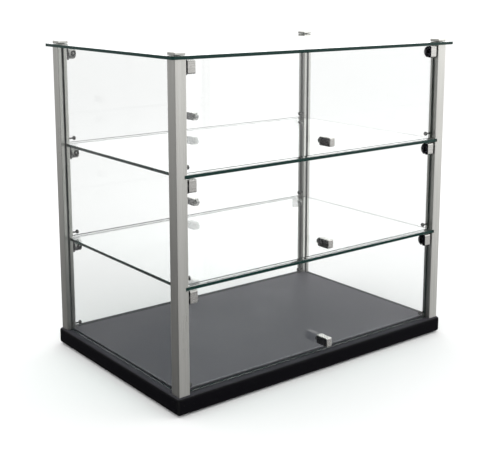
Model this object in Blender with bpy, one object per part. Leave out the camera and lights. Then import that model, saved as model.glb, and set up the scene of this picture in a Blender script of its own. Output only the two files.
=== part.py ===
"""Countertop glass showcase with three tiers, for a shop counter.

A black board carries a raised floor panel and four grooved aluminium posts. The posts hold two
side panes, two shelves and a top pane, all of 5 mm glass. Each long side is closed by three
top-hinged glass flaps, one for each tier, with pivot clips, a bar knob and two stop pins.

Metres, +Z up. The front is -Y. The origin is the middle of the footprint, on the surface that
the feet stand on.
"""

import math

import bmesh
import bpy
from mathutils import Matrix, Vector

MM = 0.001
GAP = 0.3 * MM  # left between faces that touch on the real case
REACH = 1.0 * MM  # how far a cutter runs past the face that it opens

# Glass
GLASS = 5.0 * MM
ARRIS = 0.4 * MM  # width of the ground chamfer along every glass edge
TOP_WIDTH = 600.0 * MM
TOP_DEPTH = 400.0 * MM
TOP_CORNER = 3.0 * MM

# Base
BASE_WIDTH = 590.0 * MM
BASE_DEPTH = 390.0 * MM
BASE_BOTTOM = 2.0 * MM
BASE_TOP = 30.0 * MM
BASE_ROUNDING = 5.0 * MM
FLOOR_MARGIN_X = 20.5 * MM  # from the board's edge to the floor panel's edge
FLOOR_MARGIN_Y = 25.0 * MM
FLOOR_TOP = 33.0 * MM
FLOOR_BEVEL = 0.8 * MM

# Posts
POST = 20.0 * MM
POST_CORNER = 1.0 * MM
POST_SPAN_X = 581.0 * MM  # outside to outside
POST_SPAN_Y = 381.0 * MM
POST_X = (POST_SPAN_X - POST) / 2
POST_Y = (POST_SPAN_Y - POST) / 2
GROOVE_DEPTH = 4.5 * MM  # holds the edge of a side pane
GROOVE_WIDTH = GLASS + 1.5 * MM
PORT_RADIUS = 2.8 * MM  # screw port along the post's middle
SHELF_PITCH = 170.0 * MM
NOTCH_DEPTH = 5.0 * MM  # how far a shelf's corner reaches into the post

# Levels
LOWER_SHELF_TOP = BASE_TOP + SHELF_PITCH
UPPER_SHELF_TOP = LOWER_SHELF_TOP + SHELF_PITCH
TOP_UNDERSIDE = UPPER_SHELF_TOP + SHELF_PITCH
TOP_SURFACE = TOP_UNDERSIDE + GLASS
SHELF_SETBACK = 1.0 * MM  # a shelf's long edge lies this far behind the posts' outer faces

# Each tier: its name, the level that it stands on and the underside of the glass above it
TIERS = (
    ("lower", BASE_TOP, LOWER_SHELF_TOP - GLASS),
    ("middle", LOWER_SHELF_TOP, UPPER_SHELF_TOP - GLASS),
    ("upper", UPPER_SHELF_TOP, TOP_UNDERSIDE),
)

# Post caps and bolts
CAP_SIZE = 20.0 * MM
CAP_HEIGHT = 5.0 * MM
CAP_BEVEL = 1.2 * MM
STUD_RADIUS = 2.4 * MM
STUD_LENGTH = 20.0 * MM
BOLT_HEAD_RADIUS = 6.0 * MM
BOLT_HEAD_HEIGHT = 5.0 * MM
BOLT_LENGTH = 42.0 * MM
BOLT_SOCKET_RADIUS = 2.9 * MM
BOLT_SOCKET_DEPTH = 2.6 * MM
COUNTERBORE_RADIUS = 8.0 * MM
COUNTERBORE_TOP = 10.0 * MM

# Feet
FOOT_RADIUS = 12.0 * MM
FOOT_X = 245.0 * MM
FOOT_Y = 150.0 * MM
FOOT_TOP = 6.0 * MM
FOOT_ROUNDING = 0.8 * MM

# Flap doors, in the frame of a door's pivot axis, with the outside at -Y
PIVOT_SETBACK = 6.6 * MM  # from the posts' outer faces to the pivot axis
PIVOT_Y = POST_SPAN_Y / 2 - PIVOT_SETBACK
HINGE_DROP = 12.3 * MM  # from the glass above down to the pivot axis
DOOR_Y = 4.0 * MM  # middle of the door's glass, behind the pivot axis
DOOR_TOP_GAP = 1.5 * MM
DOOR_BOTTOM_GAP = 1.0 * MM
DOOR_SIDE_GAP = 1.5 * MM
CLIP_RADIUS = 10.2 * MM
CLIP_FRONT = -5.3 * MM
CLIP_CORNER = 2.0 * MM
CLIP_WIDTH = 13.4 * MM
CLIP_WALL = 2.5 * MM
CLIP_SETBACK = 3.5 * MM  # from the post's inner face to the clip
BOSS_RADIUS = 5.0 * MM  # bearing boss between a clip and its post
BOSS_GAP = 0.6 * MM
CORNER_NOTCH_LOW = -11.5 * MM  # the glass is notched beside the clip, down to this level
PIVOT_RADIUS = 2.1 * MM
PIVOT_HOLE_RADIUS = 2.45 * MM
PIVOT_DEPTH = 5.0 * MM
KNOB_WIDTH = 12.5 * MM
KNOB_HEIGHT = 15.0 * MM
KNOB_REACH = 25.5 * MM
KNOB_ROUNDING = 1.5 * MM
KNOB_LEVEL = 24.0 * MM  # middle of the knob above the tier's own floor
KNOB_STUD_RADIUS = 2.5 * MM
KNOB_HOLE_RADIUS = 3.0 * MM
WASHER_RADIUS = 5.0 * MM
WASHER_THICKNESS = 0.8 * MM

# Stop pins
PIN_LEVEL = 9.0 * MM  # above the tier's own floor
PIN_RADIUS = 1.4 * MM
PIN_HOLE_RADIUS = 1.7 * MM
PIN_HEAD_RADIUS = 3.7 * MM
PIN_HEAD_LENGTH = 4.0 * MM
PIN_HEAD_ROUNDING = 0.8 * MM
PIN_LENGTH = 12.0 * MM  # clear of the post
PIN_DEPTH = 4.7 * MM  # inside the post
PIN_Y = PIVOT_Y - DOOR_Y - GLASS / 2 - GAP - PIN_HEAD_RADIUS

INNER_X = POST_X - POST / 2  # inner face of the posts
CLIP_OUTER_X = INNER_X - CLIP_SETBACK
NOTCH_X = CLIP_OUTER_X - CLIP_WALL - GAP  # the glass reaches this far inside a clip
DOOR_HALF_WIDTH = INNER_X - DOOR_SIDE_GAP

CORNERS = (
    ("front_left", -1, -1),
    ("front_right", 1, -1),
    ("rear_left", -1, 1),
    ("rear_right", 1, 1),
)

# Finishes: colour, roughness, metallic
FINISHES = {
    "satin_aluminium": ((0.62, 0.62, 0.58), 0.34, 1.0),
    "satin_nickel": ((0.55, 0.55, 0.53), 0.28, 1.0),
    "clear_glass": ((0.80, 0.92, 0.88), 0.03, 0.0),
    "black_laminate": ((0.012, 0.012, 0.014), 0.38, 0.0),
    "charcoal_laminate": ((0.105, 0.103, 0.112), 0.46, 0.0),
    "zinc_steel": ((0.50, 0.50, 0.48), 0.40, 1.0),
    "black_rubber": ((0.02, 0.02, 0.02), 0.85, 0.0),
}


def clear_scene():
    for obj in list(bpy.data.objects):
        bpy.data.objects.remove(obj, do_unlink=True)


def finish_of(name, finish):
    """A new material in one of the finishes, for the object called name."""
    colour, roughness, metallic = FINISHES[finish]
    material = bpy.data.materials.new(name + "_" + finish)
    material.use_nodes = True
    shader = material.node_tree.nodes["Principled BSDF"]
    shader.inputs["Base Color"].default_value = (*colour, 1.0)
    shader.inputs["Roughness"].default_value = roughness
    shader.inputs["Metallic"].default_value = metallic
    if finish == "clear_glass":
        shader.inputs["Transmission Weight"].default_value = 1.0
    return material


def mesh_of(name, shape):
    """The bmesh as a mesh with outward faces, smooth except at its edges."""
    bmesh.ops.recalc_face_normals(shape, faces=shape.faces)
    mesh = bpy.data.meshes.new(name)
    shape.to_mesh(mesh)
    shape.free()
    mesh.shade_smooth()
    mesh.set_sharp_from_angle(angle=math.radians(30))
    return mesh


def add_object(name, mesh, finish, location=(0, 0, 0), parent=None, turn=0.0):
    """A visible sub-part. turn is its rotation about Z, in radians."""
    obj = bpy.data.objects.new(name, mesh)
    bpy.context.scene.collection.objects.link(obj)
    obj.location = location
    obj.rotation_euler.z = turn
    obj.parent = parent
    # The finish sits on the object, so that objects which share a mesh keep their own.
    if not mesh.materials:
        mesh.materials.append(None)
    obj.material_slots[0].link = "OBJECT"
    obj.material_slots[0].material = finish_of(name, finish)
    return obj


def add_helper(name, mesh):
    """A hidden shape that a Boolean reads."""
    obj = bpy.data.objects.new(name, mesh)
    bpy.context.scene.collection.objects.link(obj)
    obj.hide_render = True
    obj.display_type = "WIRE"
    return obj


def add_boolean(obj, helper, operation="DIFFERENCE"):
    """Cuts or joins the helper. A helper follows the object that it shapes."""
    helper.parent = obj
    modifier = obj.modifiers.new(helper.name, "BOOLEAN")
    modifier.operation = operation
    modifier.solver = "EXACT"
    modifier.object = helper


def add_bevel(obj, width, segments=1, angle=60.0):
    modifier = obj.modifiers.new("rounding", "BEVEL")
    modifier.width = width
    modifier.segments = segments
    modifier.limit_method = "ANGLE"
    modifier.angle_limit = math.radians(angle)


def add_box(shape, low, high):
    """Adds an axis-aligned box between two corners to the bmesh."""
    low = Vector(low)
    high = Vector(high)
    place = Matrix.Translation((low + high) / 2) @ Matrix.Diagonal((*(high - low), 1.0))
    bmesh.ops.create_cube(shape, size=1.0, matrix=place)


def add_cylinder(shape, radius, start, end, segments=16):
    """Adds a capped cylinder between two points to the bmesh."""
    start = Vector(start)
    end = Vector(end)
    span = end - start
    turn = span.to_track_quat("Z", "Y").to_matrix().to_4x4()
    place = Matrix.Translation((start + end) / 2) @ turn
    bmesh.ops.create_cone(
        shape,
        cap_ends=True,
        segments=segments,
        radius1=radius,
        radius2=radius,
        depth=span.length,
        matrix=place,
    )


def extruded(outline, direction):
    """A bmesh: the flat outline pushed along direction."""
    shape = bmesh.new()
    face = shape.faces.new([shape.verts.new(point) for point in outline])
    pushed = bmesh.ops.extrude_face_region(shape, geom=[face])["geom"]
    verts = [item for item in pushed if isinstance(item, bmesh.types.BMVert)]
    bmesh.ops.translate(shape, verts=verts, vec=direction)
    return shape


def turned(profile, steps):
    """A bmesh: (radius, height) points, which start and end on the axis, spun about Z."""
    shape = bmesh.new()
    verts = [shape.verts.new((radius, 0.0, height)) for radius, height in profile]
    edges = [shape.edges.new(pair) for pair in zip(verts, verts[1:])]
    bmesh.ops.spin(
        shape,
        geom=verts + edges,
        axis=(0, 0, 1),
        cent=(0, 0, 0),
        angle=2 * math.pi,
        steps=steps,
        use_merge=True,
    )
    bmesh.ops.remove_doubles(shape, verts=shape.verts, dist=1e-6)
    return shape


def arc(centre, radius, start, end, segments):
    """Points of an arc in a plane, as pairs, with angles in degrees."""
    points = []
    for index in range(segments + 1):
        angle = math.radians(start + (end - start) * index / segments)
        across = centre[0] + radius * math.cos(angle)
        along = centre[1] + radius * math.sin(angle)
        points.append((across, along))
    return points


def rounded_rectangle(width, depth, radius, segments=4):
    """Outline in the XY plane, anticlockwise from the corner at +X +Y."""
    points = []
    for start, side_x, side_y in ((0, 1, 1), (90, -1, 1), (180, -1, -1), (270, 1, -1)):
        centre = (side_x * (width / 2 - radius), side_y * (depth / 2 - radius))
        points += arc(centre, radius, start, start + 90, segments)
    return points


def plate(width, depth, low, high, corner=0.0):
    """A bmesh slab between two levels, with corners rounded in plan where a radius is given."""
    if corner:
        outline = rounded_rectangle(width, depth, corner)
    else:
        outline = ((1, 1), (-1, 1), (-1, -1), (1, -1))
        outline = [(x * width / 2, y * depth / 2) for x, y in outline]
    return extruded([(x, y, low) for x, y in outline], (0, 0, high - low))


def post_outline():
    """A front-left post's section about its middle: the groove opens towards the rear, at +Y."""
    half = POST / 2
    groove = GROOVE_WIDTH / 2
    points = rounded_rectangle(POST, POST, POST_CORNER)
    corner_points = len(points) // 4
    slot = [
        (groove, half),
        (groove, half - GROOVE_DEPTH),
        (-groove, half - GROOVE_DEPTH),
        (-groove, half),
    ]
    return points[:corner_points] + slot + points[corner_points:]


def post_cutters(side):
    """Screw port, shelf notches, pivot holes and pin holes, in the frame of a front post.

    side is -1 for the left post, whose inner face looks to +X, and 1 for the right post.
    """
    shape = bmesh.new()
    inward = -side
    face = inward * POST / 2
    port_top = TOP_UNDERSIDE + REACH
    add_cylinder(shape, PORT_RADIUS, (0, 0, BASE_TOP - REACH), (0, 0, port_top))
    for shelf_top in (LOWER_SHELF_TOP, UPPER_SHELF_TOP):
        across = sorted((face + inward * REACH, face - inward * (NOTCH_DEPTH + GAP)))
        low = (across[0], -POST / 2 - REACH, shelf_top - GLASS - GAP)
        high = (across[1], POST / 2 + REACH, shelf_top + GAP)
        add_box(shape, low, high)
    pivot_y = POST_Y - PIVOT_Y
    pin_y = POST_Y - PIN_Y
    mouth = face + inward * REACH
    for _, floor, ceiling in TIERS:
        pivot = ceiling - HINGE_DROP
        start = (mouth, pivot_y, pivot)
        end = (face - inward * (PIVOT_DEPTH + 2 * GAP), pivot_y, pivot)
        add_cylinder(shape, PIVOT_HOLE_RADIUS, start, end)
        level = floor + PIN_LEVEL
        pin_end = face - inward * (PIN_DEPTH + GAP)
        add_cylinder(shape, PIN_HOLE_RADIUS, (mouth, pin_y, level), (pin_end, pin_y, level), 12)
    return shape


def build_posts():
    outline = [(x, y, BASE_TOP + GAP) for x, y in post_outline()]
    length = TOP_UNDERSIDE - BASE_TOP - 2 * GAP
    for name, side_x, side_y in CORNERS:
        # A rear post is the opposite front post, turned half round.
        side = side_x if side_y < 0 else -side_x
        mesh = mesh_of("post", extruded(outline, (0, 0, length)))
        place = (side_x * POST_X, side_y * POST_Y, 0)
        turn = 0.0 if side_y < 0 else math.pi
        post = add_object("post_" + name, mesh, "satin_aluminium", place, turn=turn)
        cutter = add_helper("post_cutter_" + name, mesh_of("post_cutter", post_cutters(side)))
        add_boolean(post, cutter)


def build_base():
    mesh = mesh_of("base_board", plate(BASE_WIDTH, BASE_DEPTH, BASE_BOTTOM, BASE_TOP))
    board = add_object("base_board", mesh, "black_laminate")
    add_bevel(board, BASE_ROUNDING, segments=4)
    shape = bmesh.new()
    for _, side_x, side_y in CORNERS:
        x = side_x * POST_X
        y = side_y * POST_Y
        bore = turned(
            (
                (0, BASE_BOTTOM - REACH),
                (COUNTERBORE_RADIUS, BASE_BOTTOM - REACH),
                (COUNTERBORE_RADIUS, COUNTERBORE_TOP),
                (PORT_RADIUS, COUNTERBORE_TOP),
                (PORT_RADIUS, BASE_TOP + REACH),
                (0, BASE_TOP + REACH),
            ),
            steps=20,
        )
        bmesh.ops.translate(bore, verts=bore.verts, vec=(x, y, 0))
        piece = bpy.data.meshes.new("bore")
        bore.to_mesh(piece)
        bore.free()
        shape.from_mesh(piece)
        foot = Vector((side_x * FOOT_X, side_y * FOOT_Y, 0))
        low = foot + Vector((0, 0, BASE_BOTTOM - REACH))
        high = foot + Vector((0, 0, FOOT_TOP))
        add_cylinder(shape, FOOT_RADIUS + GAP, low, high, 24)
    add_boolean(board, add_helper("base_cutter", mesh_of("base_cutter", shape)))


def build_floor_panel():
    width = BASE_WIDTH - 2 * FLOOR_MARGIN_X
    depth = BASE_DEPTH - 2 * FLOOR_MARGIN_Y
    mesh = mesh_of("floor_panel", plate(width, depth, BASE_TOP + GAP, FLOOR_TOP))
    add_bevel(add_object("floor_panel", mesh, "charcoal_laminate"), FLOOR_BEVEL)


def build_feet():
    profile = (
        (0, 0),
        (FOOT_RADIUS - FOOT_ROUNDING, 0),
        (FOOT_RADIUS, FOOT_ROUNDING),
        (FOOT_RADIUS, FOOT_TOP - GAP),
        (0, FOOT_TOP - GAP),
    )
    mesh = mesh_of("foot", turned(profile, steps=24))
    for name, side_x, side_y in CORNERS:
        place = (side_x * FOOT_X, side_y * FOOT_Y, 0)
        add_object("foot_" + name, mesh, "black_rubber", place)


def build_post_bolts():
    """Socket-head bolts that hold the posts to the board from below."""
    head_top = COUNTERBORE_TOP - GAP
    head_bottom = head_top - BOLT_HEAD_HEIGHT
    profile = (
        (0, head_bottom),
        (BOLT_HEAD_RADIUS, head_bottom),
        (BOLT_HEAD_RADIUS, head_top),
        (STUD_RADIUS, head_top),
        (STUD_RADIUS, head_top + BOLT_LENGTH),
        (0, head_top + BOLT_LENGTH),
    )
    mesh = mesh_of("post_bolt", turned(profile, steps=18))
    for name, side_x, side_y in CORNERS:
        place = (side_x * POST_X, side_y * POST_Y, 0)
        bolt = add_object("post_bolt_" + name, mesh, "zinc_steel", place)
        socket = bmesh.new()
        low = (0, 0, head_bottom - REACH)
        high = (0, 0, head_bottom + BOLT_SOCKET_DEPTH)
        add_cylinder(socket, BOLT_SOCKET_RADIUS, low, high, 6)
        add_boolean(bolt, add_helper("socket_" + name, mesh_of("socket", socket)))


def build_top():
    mesh = mesh_of("top_glass", plate(TOP_WIDTH, TOP_DEPTH, TOP_UNDERSIDE, TOP_SURFACE, TOP_CORNER))
    pane = add_object("top_glass", mesh, "clear_glass")
    add_bevel(pane, ARRIS)
    holes = bmesh.new()
    for _, side_x, side_y in CORNERS:
        low = (side_x * POST_X, side_y * POST_Y, TOP_UNDERSIDE - REACH)
        high = (side_x * POST_X, side_y * POST_Y, TOP_SURFACE + REACH)
        add_cylinder(holes, PORT_RADIUS + GAP, low, high)
    add_boolean(pane, add_helper("top_holes", mesh_of("top_holes", holes)))


def build_caps():
    """Square caps over the top pane, each with a stud down into its post."""
    low = TOP_SURFACE + GAP
    shared = mesh_of("cap", plate(CAP_SIZE, CAP_SIZE, low, TOP_SURFACE + CAP_HEIGHT))
    for name, side_x, side_y in CORNERS:
        place = (side_x * POST_X, side_y * POST_Y, 0)
        cap = add_object("cap_" + name, shared, "satin_aluminium", place)
        add_bevel(cap, CAP_BEVEL, segments=2)
        stud = bmesh.new()
        start = (0, 0, low + REACH)
        end = (0, 0, low - STUD_LENGTH)
        add_cylinder(stud, STUD_RADIUS, start, end)
        helper = add_helper("cap_stud_" + name, mesh_of("cap_stud", stud))
        add_boolean(cap, helper, "UNION")


def build_shelves():
    width = 2 * (INNER_X + NOTCH_DEPTH)
    depth = POST_SPAN_Y - 2 * SHELF_SETBACK
    for name, top in (("lower_shelf", LOWER_SHELF_TOP), ("upper_shelf", UPPER_SHELF_TOP)):
        shelf = add_object(name, mesh_of(name, plate(width, depth, top - GLASS, top)), "clear_glass")
        add_bevel(shelf, ARRIS)


def build_side_panes():
    depth = 2 * (POST_Y - POST / 2 + GROOVE_DEPTH - GAP)
    mesh = mesh_of("side_glass", plate(GLASS, depth, BASE_TOP + GAP, TOP_UNDERSIDE - GAP))
    for name, side in (("left", -1), ("right", 1)):
        pane = add_object("side_glass_" + name, mesh, "clear_glass", (side * POST_X, 0, 0))
        add_bevel(pane, ARRIS)


def clip_outline():
    """A pivot clip's side view in the YZ plane: flat at the front, half round at the back."""
    top = CLIP_RADIUS
    inset = CLIP_FRONT + CLIP_CORNER
    points = arc((DOOR_Y, 0), CLIP_RADIUS, -90, 90, 12)
    points += arc((inset, top - CLIP_CORNER), CLIP_CORNER, 90, 180, 3)
    points += arc((inset, CLIP_CORNER - top), CLIP_CORNER, 180, 270, 3)
    return points


def build_clip(name, side, door):
    """The pivot clip that grips a door's glass, with its bearing boss and the stub in the post."""
    outer = side * CLIP_OUTER_X
    inner = side * (CLIP_OUTER_X - CLIP_WIDTH)
    outline = [(inner, y, z) for y, z in clip_outline()]
    mesh = mesh_of("clip", extruded(outline, (outer - inner, 0, 0)))
    clip = add_object(name, mesh, "satin_nickel", parent=door)
    slot = bmesh.new()
    across = sorted((inner - side * REACH, outer - side * CLIP_WALL))
    grip = GLASS / 2 + GAP
    low = (across[0], DOOR_Y - grip, -CLIP_RADIUS - REACH)
    high = (across[1], DOOR_Y + grip, CLIP_RADIUS + REACH)
    add_box(slot, low, high)
    add_boolean(clip, add_helper(name + "_slot", mesh_of("slot", slot)))
    boss_end = side * (INNER_X - BOSS_GAP)
    for label, radius, start, end in (
        ("boss", BOSS_RADIUS, outer - side * REACH, boss_end),
        ("stub", PIVOT_RADIUS, boss_end - side * REACH, side * (INNER_X + PIVOT_DEPTH)),
    ):
        shape = bmesh.new()
        add_cylinder(shape, radius, (start, 0, 0), (end, 0, 0))
        add_boolean(clip, add_helper(name + "_" + label, mesh_of(label, shape)), "UNION")


def door_outline(low, high):
    """A door's glass as seen from the front, with a notch beside each clip."""
    half = DOOR_HALF_WIDTH
    right = [(half, low), (half, CORNER_NOTCH_LOW), (NOTCH_X, CORNER_NOTCH_LOW), (NOTCH_X, high)]
    return right + [(-x, z) for x, z in reversed(right)]


def build_door_glass(name, door, low, high, knob):
    front = DOOR_Y - GLASS / 2
    outline = [(x, front, z) for x, z in door_outline(low, high)]
    mesh = mesh_of(name, extruded(outline, (0, GLASS, 0)))
    pane = add_object(name, mesh, "clear_glass", parent=door)
    add_bevel(pane, ARRIS)
    hole = bmesh.new()
    start = (0, front - REACH, knob)
    end = (0, front + GLASS + REACH, knob)
    add_cylinder(hole, KNOB_HOLE_RADIUS, start, end)
    add_boolean(pane, add_helper(name + "_hole", mesh_of("hole", hole)))


def build_knob(name, door, level):
    """A bar knob, with its stud through the glass and its washer behind it."""
    shape = bmesh.new()
    front = DOOR_Y - GLASS / 2 - GAP
    back = DOOR_Y + GLASS / 2 + GAP
    low = (-KNOB_WIDTH / 2, front - KNOB_REACH, level - KNOB_HEIGHT / 2)
    high = (KNOB_WIDTH / 2, front, level + KNOB_HEIGHT / 2)
    add_box(shape, low, high)
    knob = add_object(name, mesh_of("knob", shape), "satin_nickel", parent=door)
    add_bevel(knob, KNOB_ROUNDING, segments=2)
    for label, radius, start, end in (
        ("stud", KNOB_STUD_RADIUS, front - REACH, back + REACH),
        ("washer", WASHER_RADIUS, back, back + WASHER_THICKNESS),
    ):
        shape = bmesh.new()
        add_cylinder(shape, radius, (0, start, level), (0, end, level))
        add_boolean(knob, add_helper(name + "_" + label, mesh_of(label, shape)), "UNION")


def build_doors():
    """Six flaps. A rear flap is a front one turned half round, so its own left is the case's right."""
    for long_side, side_y, turn in (("front", -1, 0.0), ("rear", 1, math.pi)):
        for tier, floor, ceiling in TIERS:
            pivot = ceiling - HINGE_DROP
            label = long_side + "_" + tier
            door = bpy.data.objects.new(label + "_pivot", None)
            bpy.context.scene.collection.objects.link(door)
            door.location = (0, side_y * PIVOT_Y, pivot)
            door.rotation_euler.z = turn
            low = floor + DOOR_BOTTOM_GAP - pivot
            high = HINGE_DROP - DOOR_TOP_GAP
            knob = floor + KNOB_LEVEL - pivot
            build_door_glass(label + "_door_glass", door, low, high, knob)
            build_knob(label + "_knob", door, knob)
            for hand, side in (("left", side_y), ("right", -side_y)):
                build_clip(label + "_hinge_" + hand, side, door)


def build_stop_pins():
    """Pins in the posts' inner faces, which a closed flap's glass rests against."""
    tip = PIN_DEPTH + PIN_LENGTH
    neck = tip - PIN_HEAD_LENGTH
    rim = PIN_HEAD_RADIUS - PIN_HEAD_ROUNDING
    profile = (
        (0, 0),
        (PIN_RADIUS, 0),
        (PIN_RADIUS, neck),
        (rim, neck),
        (PIN_HEAD_RADIUS, neck + PIN_HEAD_ROUNDING),
        (PIN_HEAD_RADIUS, tip - PIN_HEAD_ROUNDING),
        (rim, tip),
        (0, tip),
    )
    mesh = mesh_of("stop_pin", turned(profile, steps=12))
    for long_side, side_y in (("front", -1), ("rear", 1)):
        for tier, floor, _ in TIERS:
            for hand, side_x in (("left", -1), ("right", 1)):
                name = "_".join(("stop_pin", long_side, tier, hand))
                place = (side_x * (INNER_X + PIN_DEPTH), side_y * PIN_Y, floor + PIN_LEVEL)
                pin = add_object(name, mesh, "satin_nickel", place)
                pin.rotation_euler = (0, -side_x * math.pi / 2, 0)


clear_scene()
build_base()
build_floor_panel()
build_feet()
build_post_bolts()
build_posts()
build_side_panes()
build_shelves()
build_top()
build_caps()
build_doors()
build_stop_pins()
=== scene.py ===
"""Looks of the countertop glass showcase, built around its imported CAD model.

The CAD nodes keep their shapes and get procedural materials. Small fittings that the CAD leaves
out are added as pieces: glazing seals beside the side panes, and screw heads on the clips and
behind the knobs. A pale floor, soft studio light and the camera complete the scene. Metres, +Z up,
front towards -Y.
"""

import math

import bmesh
import bpy
from mathutils import Matrix, Vector


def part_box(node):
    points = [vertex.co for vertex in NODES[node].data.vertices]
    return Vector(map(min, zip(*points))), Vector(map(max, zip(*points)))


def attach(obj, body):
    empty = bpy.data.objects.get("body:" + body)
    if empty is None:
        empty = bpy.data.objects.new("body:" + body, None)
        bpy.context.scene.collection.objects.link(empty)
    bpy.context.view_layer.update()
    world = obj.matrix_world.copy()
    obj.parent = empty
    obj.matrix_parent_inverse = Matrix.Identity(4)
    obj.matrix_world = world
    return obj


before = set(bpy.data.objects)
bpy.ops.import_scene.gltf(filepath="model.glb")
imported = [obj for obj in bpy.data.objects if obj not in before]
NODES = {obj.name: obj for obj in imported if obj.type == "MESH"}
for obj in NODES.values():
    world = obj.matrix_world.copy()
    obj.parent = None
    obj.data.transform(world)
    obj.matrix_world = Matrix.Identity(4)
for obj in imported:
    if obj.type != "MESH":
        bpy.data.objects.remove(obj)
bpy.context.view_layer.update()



def grey(level, green=1.0, blue=1.0):
    """A linear colour. green and blue are shares of level, which is its red."""
    return (level, level * green, level * blue, 1.0)


MM = 0.001
CORNERS = (("front_left", -1, -1), ("front_right", 1, -1), ("rear_left", -1, 1), ("rear_right", 1, 1))
DOORS = [(side, tier) for side in ("front", "rear") for tier in ("lower", "middle", "upper")]
HANDS = (("left", -1), ("right", 1))

# Camera: place, heading from +Y towards +X, downward tilt, lens and picture shift
CAMERA_PLACE = (-1.0230, -1.2996, 0.6409)
CAMERA_HEADING = 38.05
CAMERA_TILT = 9.88
CAMERA_LENS = 67.38
CAMERA_SHIFT = -0.149

# Studio: how bright the background looks, how strongly it lights, and what metal and glass mirror
SEEN_LEVEL = 1.15
LIGHT_LEVEL = 1.2
MIRRORED_DARK = 0.44
MIRRORED_BRIGHT = 1.75
MIRRORED_LOW_DARK = 0.02  # shares that are left towards the ground, on the dark and bright sides
MIRRORED_LOW_BRIGHT = 0.33
BRIGHT_SIDE = (0.95, 0.31)  # X and Y of the direction towards the brightest part
FLOOR_RADIUS = 9.0
LAMP_TARGET = (0, 0, 0.3)
LAMPS = (  # name, place, size and power
    ("overhead", (0.3, 0.4, 2.4), (2.2, 2.2), 12.0),
    ("key", (1.9, -1.6, 1.5), (1.4, 1.6), 8.0),
)

# Colours, from the darker to the lighter where a surface varies
ALUMINIUM = (grey(0.60, 0.995, 0.94), grey(0.76, 0.995, 0.95))
ALUMINIUM_WORN = grey(0.88, 0.99, 0.96)
NICKEL = (grey(0.50, 0.985, 0.945), grey(0.64, 0.985, 0.95))
NICKEL_MARKS = grey(0.36, 0.97, 0.92)
# Painted shade for the clips' backs, the faces turned towards the case's inside
CLIP_BACK_SHADE = grey(0.03)
# Painted shade on the clips' flat sides, from the darker to the lighter
CLIP_SIDE_SHADE = (grey(0.032, 0.9, 1.2), grey(0.055, 0.9, 1.2))
BOSS = (grey(0.012), grey(0.022))
# Painted shade on the knobs' flat sides, from the darker to the lighter
KNOB_SIDE_SHADE = (grey(0.045, 0.92, 1.05), grey(0.085, 0.92, 1.05))
PIN_BLACK = grey(0.01)
GLASS_EDGES = ((0.002, 0.016, 0.013, 1), (0.006, 0.032, 0.027, 1))
GLASS_SHADOW = (0.90, 0.955, 0.935, 1)
FLAT_PANES = grey(0.840, 1.020, 1.014)
UPRIGHT_PANES = grey(0.990, 1.008, 1.004)
BOARD = (grey(0.002, 0.95, 1.3), grey(0.005, 0.95, 1.3))
BOARD_EDGE = grey(0.010)
PANEL = (grey(0.084, 0.92, 1.12), grey(0.124, 0.92, 1.12))
PANEL_EDGE = grey(0.330, 0.97, 1.06)
# Painted sheen: a pale bluish colour that lightens upward laminate faces like reflected light
TOP_SHEEN = grey(0.32, 0.97, 1.12)
SCUFFS = grey(0.25)
DUST = grey(0.45, 0.98, 0.93)
FLOOR = (grey(0.86), grey(0.89))

# Surface grain: features to a metre along each axis, and the depth of its bumps
POST_GRAIN = (2200, 2200, 14)
CAP_GRAIN = (60, 1800, 1800)
CLIP_GRAIN = (60, 900, 900)
KNOB_GRAIN = (1100, 70, 1100)
PIN_GRAIN = (2400, 300, 300)
FINE_BUMPS = 0.02 * MM
GRAIN_BUMPS = 0.03 * MM
GLASS_IOR = 1.52

# Glazing seals, in the posts' grooves on both sides of a side pane
SEAL_LIP = 0.9 * MM
SEAL_DEPTH = 3.6 * MM
SEAL_GAP = 0.05 * MM
SEAL_END_GAP = 0.4 * MM
GROOVE_HALF = 3.2 * MM

# Fittings on the doors
CLIP_WIDTH = 13.4 * MM
CLAMP_SCREW_RADIUS = 5.0 * MM
CLAMP_SCREW_HEIGHT = 2.3 * MM
CLAMP_SCREW_INSET = 5.0 * MM  # from the clip's inner end to the screw's middle
CLAMP_SCREW_SINK = 1.1 * MM  # into the clip's round back
KNOB_SCREW_RADIUS = 3.4 * MM
KNOB_SCREW_HEIGHT = 0.7 * MM
KNOB_SCREW_GAP = 0.05 * MM
SOCKET_SHARE = 0.42  # of a screw head's radius
SOCKET_CHAMFER = 0.12 * MM
SCREW_RIM_SHARE = 0.25  # of a screw head's height
HEAD_SIDES = 24
SHARP_ANGLE = 35


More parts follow.
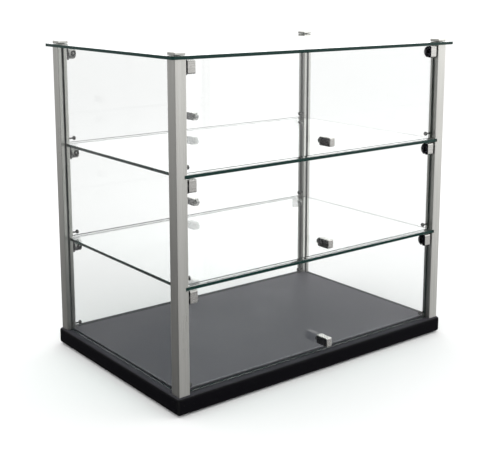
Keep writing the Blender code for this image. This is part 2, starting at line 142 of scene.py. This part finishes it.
class Graph:
    """Builds one node tree. Its texture space is the object's own, in metres."""

    def __init__(self, tree):
        self.tree = tree
        tree.nodes.clear()

    def add(self, kind, inputs, **settings):
        """A new node. An input takes a value, or another node's output to link."""
        made = self.tree.nodes.new(kind)
        for name, value in settings.items():
            setattr(made, name, value)
        for socket, value in inputs.items():
            if isinstance(value, bpy.types.NodeSocket):
                self.tree.links.new(value, made.inputs[socket])
            else:
                made.inputs[socket].default_value = value
        return made

    def math(self, operation, *values):
        return self.add("ShaderNodeMath", dict(enumerate(values)), operation=operation).outputs[0]

    def fade(self, value, low, high, start=0.0, end=1.0):
        """start where value is low or less, end where it is high or more, smooth between."""
        inputs = {"Value": value, "From Min": low, "From Max": high, "To Min": start, "To Max": end}
        return self.add("ShaderNodeMapRange", inputs, interpolation_type="SMOOTHSTEP").outputs[0]

    def mix(self, share, first, second):
        """A colour between two colours."""
        return self.add("ShaderNodeMix", {0: share, 6: first, 7: second}, data_type="RGBA").outputs[2]

    def place(self, output="Object"):
        return self.add("ShaderNodeTexCoord", {}).outputs[output]

    def parts(self, vector):
        return self.add("ShaderNodeSeparateXYZ", {0: vector}).outputs

    def facing(self, axis):
        """How far the surface faces along an axis, whichever way."""
        return self.math("ABSOLUTE", self.parts(self.place("Normal"))[axis])

    def noise(self, cycles, detail=2.0, roughness=0.5):
        """Noise from 0 to 1. cycles is features to a metre: one number, or one for each axis."""
        if isinstance(cycles, (int, float)):
            cycles = (cycles, cycles, cycles)
        scaled = self.add("ShaderNodeVectorMath", {0: self.place(), 1: cycles}, operation="MULTIPLY")
        inputs = {"Vector": scaled.outputs[0], "Scale": 1.0, "Detail": detail, "Roughness": roughness}
        return self.add("ShaderNodeTexNoise", inputs).outputs[0]

    def ray(self, output):
        return self.add("ShaderNodeLightPath", {}).outputs[output]

    def bump(self, height, distance, strength):
        inputs = {"Height": height, "Distance": distance, "Strength": strength}
        return self.add("ShaderNodeBump", inputs).outputs[0]

    def principled(self, **inputs):
        """A Principled shader. Its inputs are named with underscores for spaces."""
        named = {name.replace("_", " "): value for name, value in inputs.items()}
        return self.add("ShaderNodeBsdfPrincipled", named)

    def mix_shaders(self, share, first, second):
        inputs = {0: share, 1: first.outputs[0], 2: second.outputs[0]}
        return self.add("ShaderNodeMixShader", inputs)

    def show(self, shader, kind="ShaderNodeOutputMaterial"):
        self.add(kind, {0: shader.outputs[0]})


def new_material(name):
    material = bpy.data.materials.new(name)
    material.use_nodes = True
    return material, Graph(material.node_tree)


def middle_of(graph, first, second, third):
    """The middle one of three values."""
    low = graph.math("MINIMUM", first, second)
    high = graph.math("MAXIMUM", first, second)
    return graph.math("MAXIMUM", low, graph.math("MINIMUM", high, third))


def edge_mask(graph, half, centre, width):
    """1 along the edges of a box, 0 away from them.

    half and centre are the box's half sizes and its middle, on the absolute X and Y axes, so that
    parts which mirror each other share one material.
    """
    x, y, z = graph.parts(graph.place())
    places = (graph.math("ABSOLUTE", x), graph.math("ABSOLUTE", y), z)
    depths = []
    for value, size, middle in zip(places, half, centre):
        offset = graph.math("ABSOLUTE", graph.math("SUBTRACT", value, middle))
        depths.append(graph.math("SUBTRACT", size, offset))
    return graph.fade(middle_of(graph, *depths), 0.15 * width, width, 1.0, 0.0)


def box_of(name):
    """Half sizes and middle of a node's box, on the absolute X and Y axes."""
    low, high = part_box(name)
    centre = (low + high) / 2
    return (high - low) / 2, Vector((abs(centre.x), abs(centre.y), centre.z))


def named_nodes(start):
    return [name for name in NODES if name.startswith(start)]


def paint(names, material):
    """Puts the material in every slot of these CAD nodes."""
    for name in names:
        for slot in NODES[name].material_slots:
            slot.material = material


# ---------------------------------------------------------------- materials


def aluminium(name, node, grain, wear_width):
    """Satin anodised aluminium, brushed along its length, a little brighter at its edges."""
    material, graph = new_material(name)
    fine = graph.noise(grain, detail=3.0, roughness=0.65)
    broad = graph.noise([cycles * 0.12 for cycles in grain], detail=2.0)
    haze = graph.noise((28, 28, 9), detail=3.0)
    shade = graph.math("MULTIPLY_ADD", fine, 0.6, graph.math("MULTIPLY", broad, 0.4))
    colour = graph.mix(graph.fade(shade, 0.25, 0.75), *ALUMINIUM)
    edges = edge_mask(graph, *box_of(node), wear_width)
    wear = graph.math("MULTIPLY", edges, graph.fade(broad, 0.35, 0.6))
    colour = graph.mix(graph.math("MULTIPLY", wear, 0.5), colour, ALUMINIUM_WORN)
    rough = graph.math("MULTIPLY_ADD", fine, 0.12, graph.fade(haze, 0.35, 0.7, 0.22, 0.30))
    shader = graph.principled(
        Base_Color=colour,
        Metallic=0.95,
        Roughness=rough,
        Anisotropic=0.45,
        Normal=graph.bump(shade, FINE_BUMPS, 0.35),
    )
    graph.show(shader)
    return material


def nickel(name, grain):
    """Satin nickel with fine lines and soft handling marks, before its shader is made."""
    material, graph = new_material(name)
    fine = graph.noise(grain, detail=3.0, roughness=0.6)
    marks = graph.noise(160, detail=4.0, roughness=0.6)
    colour = graph.mix(graph.fade(fine, 0.3, 0.7), *NICKEL)
    colour = graph.mix(graph.fade(marks, 0.58, 0.72, 0.0, 0.35), colour, NICKEL_MARKS)
    rough = graph.math("MULTIPLY_ADD", fine, 0.10, graph.fade(marks, 0.35, 0.7, 0.16, 0.28))
    return material, graph, colour, rough, fine


def hinge_material():
    """A satin nickel clip with painted shade on its flat sides and on its back towards the case's
    inside, and a black nylon bearing boss beside the post.
    """
    material, graph, colour, rough, fine = nickel("clip_nickel", CLIP_GRAIN)
    low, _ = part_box("front_upper_hinge_right")
    boss_start = low.x + CLIP_WIDTH + 0.05 * MM
    x, y, _ = graph.parts(graph.place())
    boss = graph.math("GREATER_THAN", graph.math("ABSOLUTE", x), boss_start)
    normal = graph.parts(graph.place("Normal"))
    # Painted shade: faces turned towards the case's inside go a quarter of the way to near black
    outward = graph.math("MULTIPLY", normal[1], graph.math("SIGN", y))
    shaded_back = graph.mix(0.25, colour, CLIP_BACK_SHADE)
    colour = graph.mix(graph.fade(outward, -0.5, 0.6), shaded_back, colour)
    grain = graph.noise(2600, detail=2.0)
    # Painted shade: the clip's flat sides, which face along X, darken towards a dark purple grey
    side = graph.fade(graph.facing(0), 0.5, 0.9)
    colour = graph.mix(side, colour, graph.mix(grain, *CLIP_SIDE_SHADE))
    colour = graph.mix(boss, colour, graph.mix(grain, *BOSS))
    metallic = graph.math("SUBTRACT", 1.0, boss)
    rough = graph.math("MAXIMUM", rough, graph.math("MULTIPLY", boss, 0.42))
    height = graph.math("ADD", fine, graph.math("MULTIPLY", boss, grain))
    shader = graph.principled(
        Base_Color=colour,
        Metallic=metallic,
        Roughness=rough,
        Normal=graph.bump(height, FINE_BUMPS, 0.3),
    )
    graph.show(shader)
    return material


def knob_material():
    """A satin nickel bar whose flat sides carry painted shade, leaving its corners bright."""
    material, graph, colour, rough, fine = nickel("knob_nickel", KNOB_GRAIN)
    # Painted shade: the knob's flat sides, which face along X, are darkened
    side = graph.fade(graph.facing(0), 0.80, 0.97, 0.0, 0.8)
    colour = graph.mix(side, colour, graph.mix(fine, *KNOB_SIDE_SHADE))
    shader = graph.principled(
        Base_Color=colour,
        Metallic=1.0,
        Roughness=rough,
        Normal=graph.bump(fine, FINE_BUMPS, 0.3),
    )
    graph.show(shader)
    return material


def pin_material():
    """Turned pins, blackened: fine rings round their length."""
    material, graph, colour, rough, fine = nickel("pin_black", PIN_GRAIN)
    shader = graph.principled(
        Base_Color=graph.mix(0.88, colour, PIN_BLACK),
        Metallic=0.8,
        Roughness=rough,
        Normal=graph.bump(fine, FINE_BUMPS, 0.4),
    )
    graph.show(shader)
    return material


def glass(name, thin_axis, tint):
    """Clear float glass: faint smudges on its faces, ground green edges. thin_axis is 0, 1 or 2."""
    material, graph = new_material(name)
    edge = graph.fade(graph.facing(thin_axis), 0.75, 0.95, 1.0, 0.0)
    grinding = graph.noise(900, detail=2.0)
    smudge = graph.fade(graph.noise((9, 9, 14), detail=5.0, roughness=0.6), 0.52, 0.75)
    face = graph.principled(
        Base_Color=tint,
        Roughness=graph.math("MULTIPLY", smudge, 0.012),
        IOR=GLASS_IOR,
        Specular_IOR_Level=0.32,
        Transmission_Weight=1.0,
    )
    ground = graph.principled(
        Base_Color=graph.mix(grinding, *GLASS_EDGES),
        Roughness=graph.math("MULTIPLY_ADD", grinding, 0.10, 0.08),
        IOR=GLASS_IOR,
        Specular_IOR_Level=0.20,
        Normal=graph.bump(grinding, FINE_BUMPS, 0.3),
    )
    body = graph.mix_shaders(edge, face, ground)
    clear = graph.add("ShaderNodeBsdfTransparent", {"Color": GLASS_SHADOW})
    graph.show(graph.mix_shaders(graph.ray("Is Shadow Ray"), body, clear))
    return material


def laminate(name, node, colours, edge_colour, edge_width, haze, rough, shine):
    """Satin laminate: fine mottling, hairline scuffs, dust, and edges in a colour of their own.

    haze is the share of painted sheen on its top: a pale bluish lightening of the upward faces that
    stands in for reflected light.
    """
    material, graph = new_material(name)
    mottle = graph.noise(1500, detail=3.0, roughness=0.7)
    cloud = graph.noise(11, detail=3.0)
    scuff = graph.fade(graph.noise((14, 420, 40), detail=4.0, roughness=0.7), 0.66, 0.74)
    dust = graph.fade(graph.noise(700, detail=2.0), 0.70, 0.78)
    colour = graph.mix(graph.fade(mottle, 0.3, 0.7), *colours)
    colour = graph.mix(graph.math("MULTIPLY", scuff, 0.12), colour, SCUFFS)
    colour = graph.mix(graph.math("MULTIPLY", dust, 0.10), colour, DUST)
    edges = edge_mask(graph, *box_of(node), edge_width)
    broken = graph.fade(graph.noise(220, detail=3.0), 0.30, 0.62, 0.35, 1.0)
    colour = graph.mix(graph.math("MULTIPLY", edges, broken), colour, edge_colour)
    # Painted sheen: upward faces are lightened towards a pale bluish colour by the haze share
    upward = graph.fade(graph.parts(graph.place("Normal"))[2], 0.6, 1.0)
    colour = graph.mix(upward, colour, graph.mix(haze, colour, TOP_SHEEN))
    fine_rough = graph.math("MULTIPLY_ADD", mottle, 0.10, rough - 0.11)
    shader = graph.principled(
        Base_Color=colour,
        Roughness=graph.math("MULTIPLY_ADD", cloud, 0.12, fine_rough),
        Specular_IOR_Level=shine,
        Normal=graph.bump(mottle, GRAIN_BUMPS, 0.25),
    )
    graph.show(shader)
    return material


def rubber(name, level):
    """Black rubber with a fine moulded grain and patches of pale bloom."""
    material, graph = new_material(name)
    grain = graph.noise(1800, detail=2.0)
    bloom = graph.fade(graph.noise((60, 60, 25), detail=3.0), 0.4, 0.75, 0.0, 0.6)
    colour = graph.mix(bloom, grey(level), grey(level * 2.4, 1.0, 0.97))
    shader = graph.principled(
        Base_Color=colour,
        Roughness=graph.math("MULTIPLY_ADD", grain, 0.2, 0.52),
        Normal=graph.bump(grain, GRAIN_BUMPS, 0.3),
    )
    graph.show(shader)
    return material


def screw_steel(name, level, metallic, shine):
    """Plated or blackened screw steel with turning marks."""
    material, graph = new_material(name)
    turning = graph.noise(1500, detail=3.0)
    worn = graph.fade(graph.noise(500, detail=3.0), 0.55, 0.75, 0.0, 0.5)
    colour = graph.mix(worn, grey(level), grey(level * 1.8))
    shader = graph.principled(
        Base_Color=colour,
        Metallic=metallic,
        Specular_IOR_Level=shine,
        Roughness=graph.math("MULTIPLY_ADD", turning, 0.16, 0.30),
        Normal=graph.bump(turning, FINE_BUMPS, 0.3),
    )
    graph.show(shader)
    return material


# ---------------------------------------------------------------- pieces


def add_piece(name, shape, material, body):
    """A visible piece from a bmesh, which rides on a CAD body."""
    bmesh.ops.recalc_face_normals(shape, faces=shape.faces)
    mesh = bpy.data.meshes.new(name)
    shape.to_mesh(mesh)
    shape.free()
    mesh.shade_smooth()
    mesh.set_sharp_from_angle(angle=math.radians(SHARP_ANGLE))
    mesh.materials.append(material)
    piece = bpy.data.objects.new(name, mesh)
    bpy.context.scene.collection.objects.link(piece)
    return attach(piece, body)


def add_prism(shape, outline, direction):
    """Adds the flat outline, pushed along direction, to the bmesh."""
    near = [shape.verts.new(point) for point in outline]
    far = [shape.verts.new(Vector(point) + Vector(direction)) for point in outline]
    shape.faces.new(near)
    shape.faces.new(reversed(far))
    for index, vert in enumerate(near):
        following = (index + 1) % len(near)
        shape.faces.new((vert, far[index], far[following], near[following]))


def add_rings(shape, rings, place):
    """Adds a surface through rings of points, closed by a face at each end."""
    loops = [[shape.verts.new(place @ Vector(point)) for point in points] for points in rings]
    shape.faces.new(loops[0])
    shape.faces.new(reversed(loops[-1]))
    for first, second in zip(loops, loops[1:]):
        for index, vert in enumerate(first):
            following = (index + 1) % len(first)
            shape.faces.new((vert, second[index], second[following], first[following]))


def ring(radius, height, hexagon=False):
    """Points round the Z axis, on a circle or on a hexagon of that radius to its flats."""
    half_flat = math.pi / 6
    points = []
    for index in range(HEAD_SIDES):
        angle = 2 * math.pi * index / HEAD_SIDES
        reach = radius
        if hexagon:
            reach = radius / math.cos((angle + half_flat) % (2 * half_flat) - half_flat)
        points.append((reach * math.cos(angle), reach * math.sin(angle), height))
    return points


def add_screw_head(shape, place, radius, height):
    """Adds a domed screw head with a hexagon socket. place takes its Z axis outwards."""
    socket = radius * SOCKET_SHARE
    flat = socket * 1.25
    rim = SCREW_RIM_SHARE * height
    rings = [ring(radius, 0), ring(radius, rim)]
    for step in (0.35, 0.65, 0.9):
        angle = step * math.pi / 2
        dome = flat + (radius - flat) * math.cos(angle)
        rings.append(ring(dome, rim + (height - rim) * math.sin(angle)))
    rings.append(ring(socket * 1.2, height))
    rings.append(ring(socket, height - SOCKET_CHAMFER, hexagon=True))
    rings.append(ring(socket, 0.35 * height, hexagon=True))
    add_rings(shape, rings, place)


def facing_place(centre, direction):
    """The matrix that stands a piece built along +Z on centre, along direction."""
    turn = Vector(direction).to_track_quat("Z", "Y").to_matrix().to_4x4()
    return Matrix.Translation(centre) @ turn


def build_clamp_screws(side, tier, material):
    """Two button-head screws, one on the inner half of each pivot clip."""
    inward = 1 if side == "front" else -1
    shape = bmesh.new()
    for hand, side_x in HANDS:
        low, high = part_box(f"{side}_{tier}_hinge_{hand}")
        inner_end = high.x if side_x < 0 else low.x
        back = high.y if inward > 0 else low.y
        x = inner_end + side_x * CLAMP_SCREW_INSET
        centre = Vector((x, back - inward * CLAMP_SCREW_SINK, (low.z + high.z) / 2))
        place = facing_place(centre, (0, inward, 0))
        add_screw_head(shape, place, CLAMP_SCREW_RADIUS, CLAMP_SCREW_HEIGHT)
    add_piece(f"{side}_{tier}_clamp_screws", shape, material, f"{side}_{tier}_door")


def build_knob_screw(side, tier, material):
    """The screw that holds the knob, on the washer inside the case."""
    inward = 1 if side == "front" else -1
    low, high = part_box(f"{side}_{tier}_knob")
    back = high.y if inward > 0 else low.y
    foot = back + inward * KNOB_SCREW_GAP
    centre = Vector(((low.x + high.x) / 2, foot, (low.z + high.z) / 2))
    place = facing_place(centre, (0, inward, 0))
    shape = bmesh.new()
    add_screw_head(shape, place, KNOB_SCREW_RADIUS, KNOB_SCREW_HEIGHT)
    add_piece(f"{side}_{tier}_knob_screw", shape, material, f"{side}_{tier}_door")


def seal_outline(face):
    """One seal's section: X from the pane's middle, and Y out of the groove from its mouth."""
    return (
        (face, -SEAL_DEPTH),
        (GROOVE_HALF, -SEAL_DEPTH),
        (GROOVE_HALF, SEAL_GAP),
        (GROOVE_HALF + 0.5 * MM, 0.1 * MM),
        (GROOVE_HALF + 0.4 * MM, 0.55 * MM),
        (face + 0.25 * MM, SEAL_LIP),
        (face, SEAL_LIP - 0.15 * MM),
    )


def build_seals(material):
    """Rubber glazing seals that fill the posts' grooves on both faces of a side pane."""
    for name, side_x, side_y in CORNERS:
        low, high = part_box("post_" + name)
        pane_low, pane_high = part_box("side_glass_left" if side_x < 0 else "side_glass_right")
        mouth = high.y if side_y < 0 else low.y
        middle = (pane_low.x + pane_high.x) / 2
        outline = seal_outline((pane_high.x - pane_low.x) / 2 + SEAL_GAP)
        foot = low.z + SEAL_END_GAP
        shape = bmesh.new()
        for turn in (-1, 1):
            points = [(middle + turn * x, mouth - side_y * y, foot) for x, y in outline]
            add_prism(shape, points, (0, 0, high.z - SEAL_END_GAP - foot))
        add_piece("glazing_seal_" + name, shape, material, "cabinet")


# ---------------------------------------------------------------- stage


def build_floor():
    """A pale floor. Mirrored rays pass through it, to the studio's dark lower half."""
    shape = bmesh.new()
    bmesh.ops.create_circle(shape, cap_ends=True, segments=96, radius=FLOOR_RADIUS)
    mesh = bpy.data.meshes.new("floor")
    shape.to_mesh(mesh)
    shape.free()
    material, graph = new_material("floor_pale")
    colour = graph.mix(graph.noise(3, detail=3.0), *FLOOR)
    pale = graph.principled(Base_Color=colour, Roughness=0.7, Specular_IOR_Level=0.0)
    passing = graph.add("ShaderNodeBsdfTransparent", {})
    mirrored = graph.math("GREATER_THAN", graph.ray("Glossy Depth"), 0.5)
    graph.show(graph.mix_shaders(mirrored, pale, passing))
    mesh.materials.append(material)
    floor = bpy.data.objects.new("floor", mesh)
    bpy.context.scene.collection.objects.link(floor)


def build_world():
    """A bright studio, white to look at and even to be lit by.

    What metal and glass mirror is bright on the right, and darker on the left and below the horizon.
    """
    world = bpy.data.worlds.new("studio")
    world.cycles.sampling_method = "NONE"
    world.use_nodes = True
    bpy.context.scene.world = world
    graph = Graph(world.node_tree)
    x, y, z = graph.parts(graph.place("Generated"))
    aside = graph.math("MULTIPLY", y, BRIGHT_SIDE[1])
    aside = graph.math("MULTIPLY_ADD", x, BRIGHT_SIDE[0], aside)
    round_level = graph.fade(aside, -0.45, 1.0, MIRRORED_DARK, MIRRORED_BRIGHT)
    low_level = graph.fade(aside, -0.6, 0.3, MIRRORED_LOW_DARK, MIRRORED_LOW_BRIGHT)
    height_level = graph.fade(z, -0.42, 0.06, low_level, 1.0)
    mirrored = graph.math("MULTIPLY", round_level, height_level)
    is_mirrored = graph.math("GREATER_THAN", graph.ray("Glossy Depth"), 0.5)
    is_diffuse = graph.math("GREATER_THAN", graph.ray("Diffuse Depth"), 0.5)
    level = graph.add("ShaderNodeMix", {0: is_mirrored, 2: SEEN_LEVEL, 3: mirrored}).outputs[0]
    level = graph.add("ShaderNodeMix", {0: is_diffuse, 2: level, 3: LIGHT_LEVEL}).outputs[0]
    back = graph.add("ShaderNodeBackground", {"Color": (1, 1, 1, 1), "Strength": level})
    graph.show(back, "ShaderNodeOutputWorld")


def add_lamp(name, place, size, power):
    """A rectangular lamp that points at the case."""
    light = bpy.data.lights.new(name, "AREA")
    light.shape = "RECTANGLE"
    light.size, light.size_y = size
    light.energy = power
    lamp = bpy.data.objects.new(name, light)
    lamp.location = place
    aim = Vector(LAMP_TARGET) - Vector(place)
    lamp.rotation_euler = aim.to_track_quat("-Z", "Y").to_euler()
    bpy.context.scene.collection.objects.link(lamp)


def build_camera():
    data = bpy.data.cameras.new("camera")
    data.lens = CAMERA_LENS
    data.sensor_width = 36.0
    data.shift_y = CAMERA_SHIFT
    camera = bpy.data.objects.new("camera", data)
    camera.location = CAMERA_PLACE
    camera.rotation_euler = (math.radians(90 - CAMERA_TILT), 0, math.radians(-CAMERA_HEADING))
    bpy.context.scene.collection.objects.link(camera)
    bpy.context.scene.camera = camera


def dress_nodes():
    """Gives every CAD node its material."""
    posts = ["post_" + name for name, _, _ in CORNERS]
    paint(posts, aluminium("post_aluminium", "post_front_left", POST_GRAIN, 1.0 * MM))
    caps = ["cap_" + name for name, _, _ in CORNERS]
    paint(caps, aluminium("cap_aluminium", "cap_front_left", CAP_GRAIN, 1.6 * MM))
    paint(["top_glass", "lower_shelf", "upper_shelf"], glass("flat_glass", 2, FLAT_PANES))
    paint(["side_glass_left", "side_glass_right"], glass("side_glass", 0, UPRIGHT_PANES))
    door_panes = [f"{side}_{tier}_door_glass" for side, tier in DOORS]
    paint(door_panes, glass("door_glass", 1, UPRIGHT_PANES))
    hinges = [f"{side}_{tier}_hinge_{hand}" for side, tier in DOORS for hand, _ in HANDS]
    paint(hinges, hinge_material())
    paint([f"{side}_{tier}_knob" for side, tier in DOORS], knob_material())
    paint(named_nodes("stop_pin"), pin_material())
    board = laminate(
        "board_laminate",
        "base_board",
        colours=BOARD,
        edge_colour=BOARD_EDGE,
        edge_width=5 * MM,
        # haze: the share of painted sheen lightening the board's top
        haze=0.14,
        rough=0.48,
        shine=0.02,
    )
    paint(["base_board"], board)
    panel = laminate(
        "panel_laminate",
        "floor_panel",
        colours=PANEL,
        edge_colour=PANEL_EDGE,
        edge_width=1.8 * MM,
        haze=0.0,
        rough=0.55,
        shine=0.3,
    )
    paint(["floor_panel"], panel)
    paint(named_nodes("foot"), rubber("foot_rubber", 0.02))
    paint(named_nodes("post_bolt"), screw_steel("bolt_zinc", 0.5, 1.0, 0.5))


def add_fittings():
    """Adds the pieces that the CAD leaves out."""
    black_steel = screw_steel("black_screw", 0.002, 0.0, 0.04)
    bright_steel = screw_steel("bright_screw", 0.5, 1.0, 0.5)
    for side, tier in DOORS:
        build_clamp_screws(side, tier, black_steel)
        build_knob_screw(side, tier, bright_steel)
    build_seals(rubber("seal_rubber", 0.09))


def write_sizes():
    """Brings the scene's object transforms up to date."""
    bpy.context.view_layer.update()


dress_nodes()
add_fittings()
build_floor()
build_world()
for lamp_facts in LAMPS:
    add_lamp(*lamp_facts)
build_camera()
bpy.context.scene.view_settings.view_transform = "Standard"
write_sizes()
